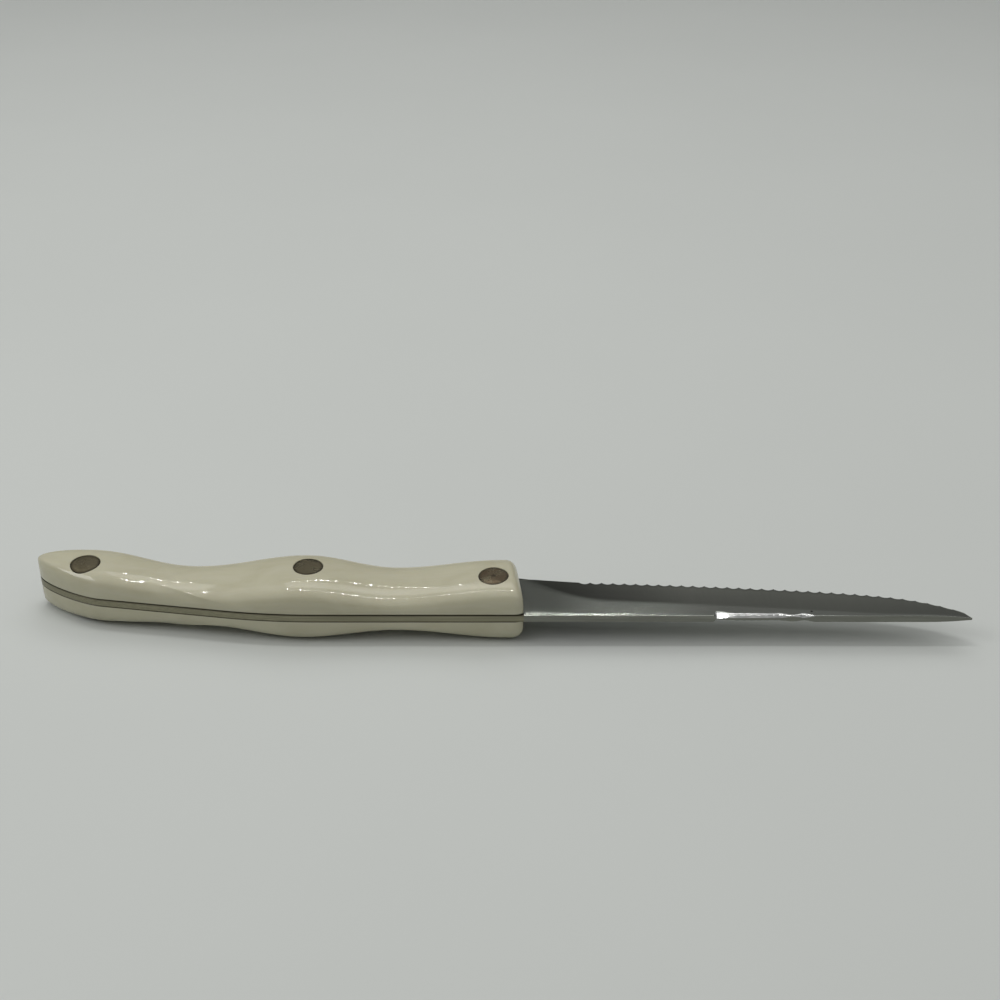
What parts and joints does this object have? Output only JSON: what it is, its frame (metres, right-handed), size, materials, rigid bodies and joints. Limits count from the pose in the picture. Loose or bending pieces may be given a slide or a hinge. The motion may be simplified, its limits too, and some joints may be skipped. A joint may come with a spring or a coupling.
{
  "type": "kitchen utility knife",
  "caption": "Full-tang kitchen utility knife: hollow-ground steel blade with a scalloped edge, waisted ivory resin handle scales and flush round rivets.",
  "frame": {"origin": "middle of the footprint of the knife lying on its right side, on the surface that it lies on", "axes": "+X towards the tip, +Y towards the cutting edge, +Z out of the left side of the blade"},
  "size_m": [0.2508, 0.0248, 0.0166],
  "materials": {
    "steel": "satin polished stainless steel, darker hollow grind",
    "resin": "polished ivory resin",
    "rivet": "dulled nickel silver, ground flush"
  },
  "bodies": {
    "root": {"blade_with_tang": "steel", "left_scale": "resin", "right_scale": "resin", "front_rivet_socket": "rivet", "front_rivet_pin": "rivet", "middle_rivet_socket": "rivet", "middle_rivet_pin": "rivet", "rear_rivet_socket": "rivet", "rear_rivet_pin": "rivet"}
  },
  "joints": []
}
